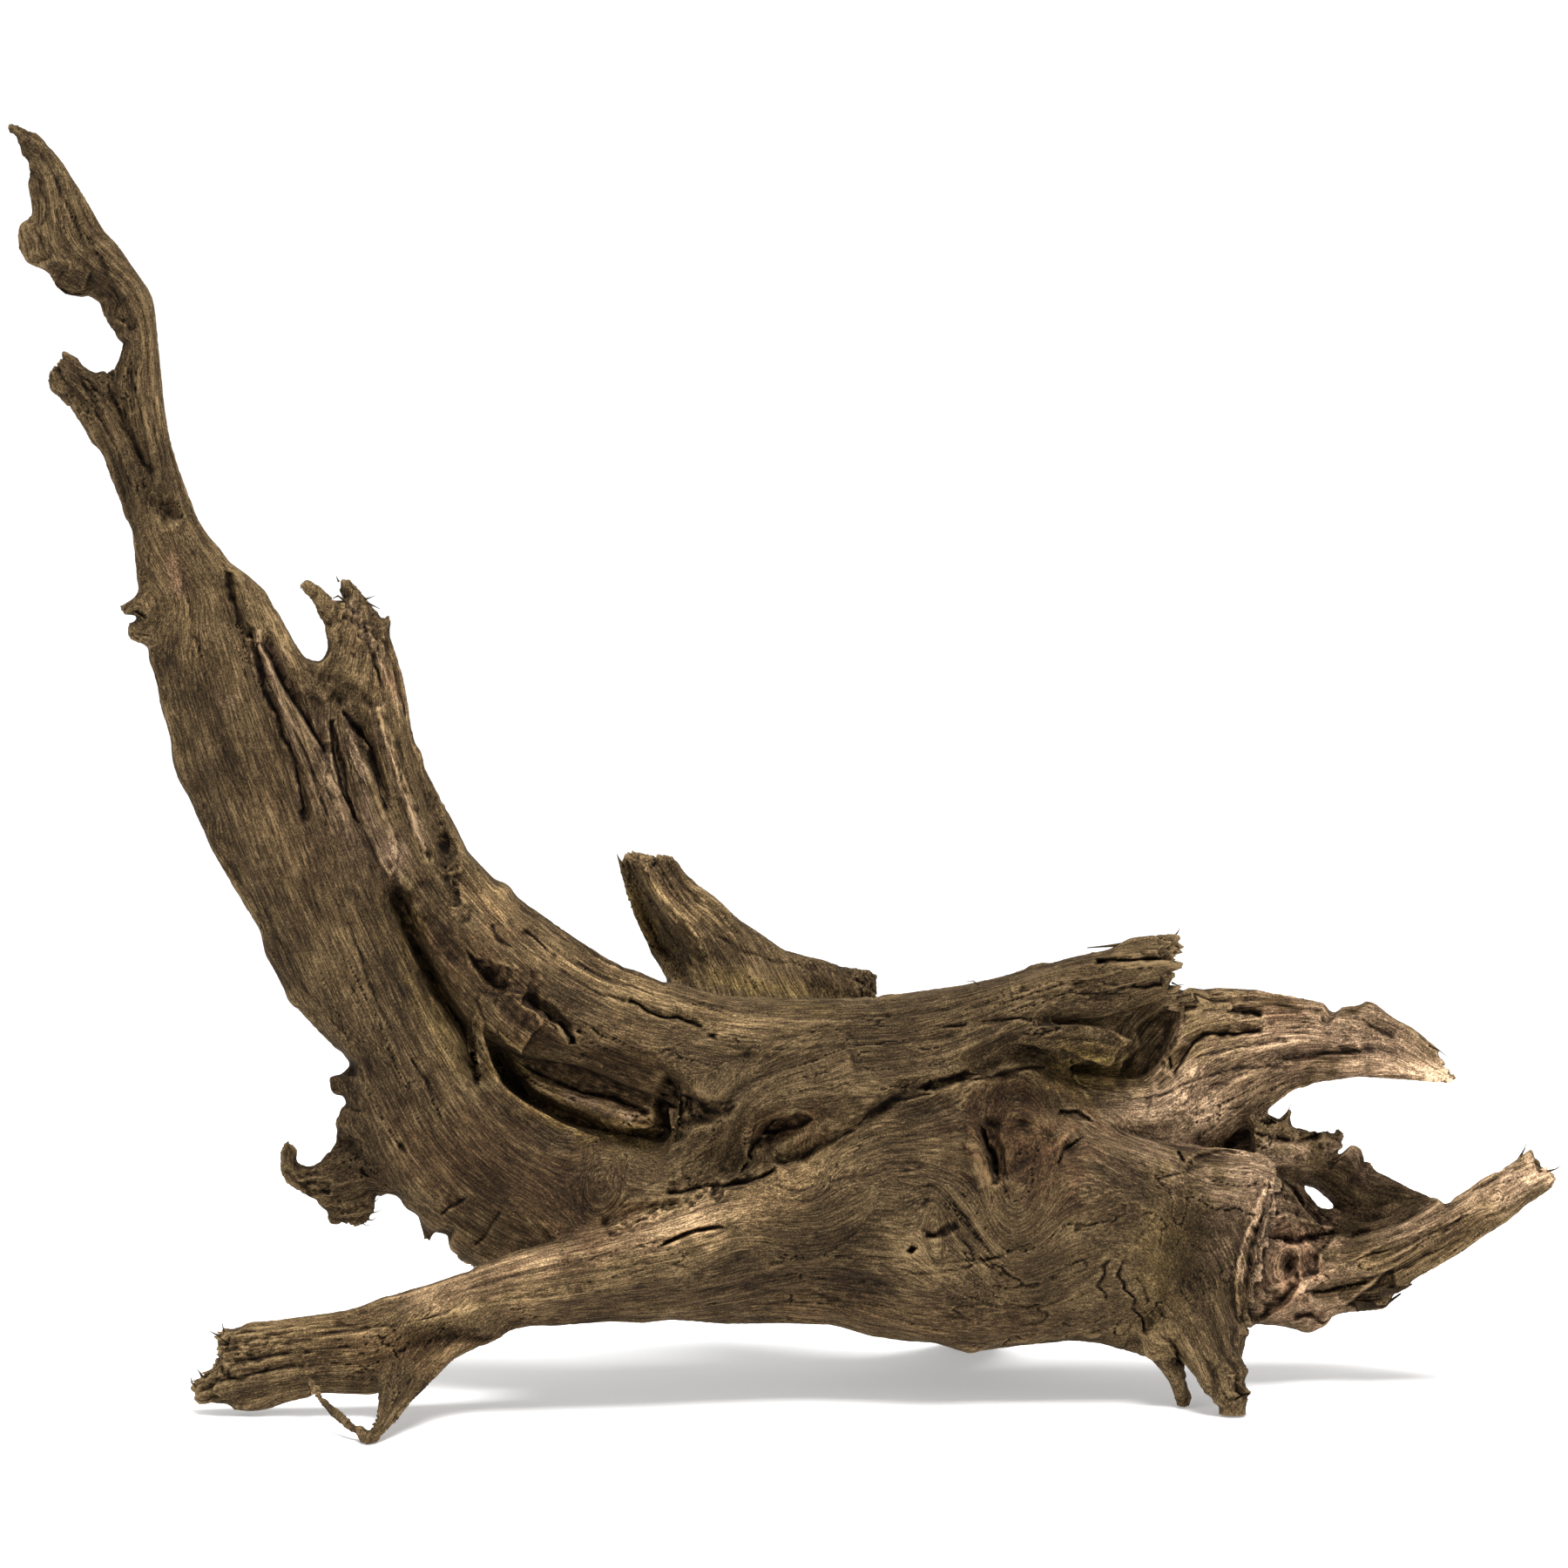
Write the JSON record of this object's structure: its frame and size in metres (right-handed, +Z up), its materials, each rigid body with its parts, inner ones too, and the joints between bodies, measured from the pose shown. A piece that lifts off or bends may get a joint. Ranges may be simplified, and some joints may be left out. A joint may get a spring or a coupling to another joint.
{
  "type": "bogwood",
  "caption": "Gnarled branching bogwood root for an aquarium or terrarium, with a tall fluted branch, a flared trunk and broken roots, resting on its root tips.",
  "frame": {"origin": "on the floor, under the middle of the wood's bounding box", "axes": "+X along the longest extent, to the right in the front view; +Y to the back; +Z up"},
  "size_m": [0.5894, 0.2467, 0.4868],
  "materials": {
    "weathered_wood": "matte, dry, grooved along the grain",
    "pale_wood": "matte, dry, rough and paler where worn"
  },
  "bodies": {
    "root": {"trunk": "weathered_wood", "upright_branch": "weathered_wood", "crown_limb": "weathered_wood", "torn_spur": "weathered_wood", "left_root": "weathered_wood", "rear_root": "weathered_wood", "rear_leg": "weathered_wood", "upper_right_branch": "weathered_wood", "right_root": "weathered_wood", "beak_root": "pale_wood"}
  },
  "joints": []
}
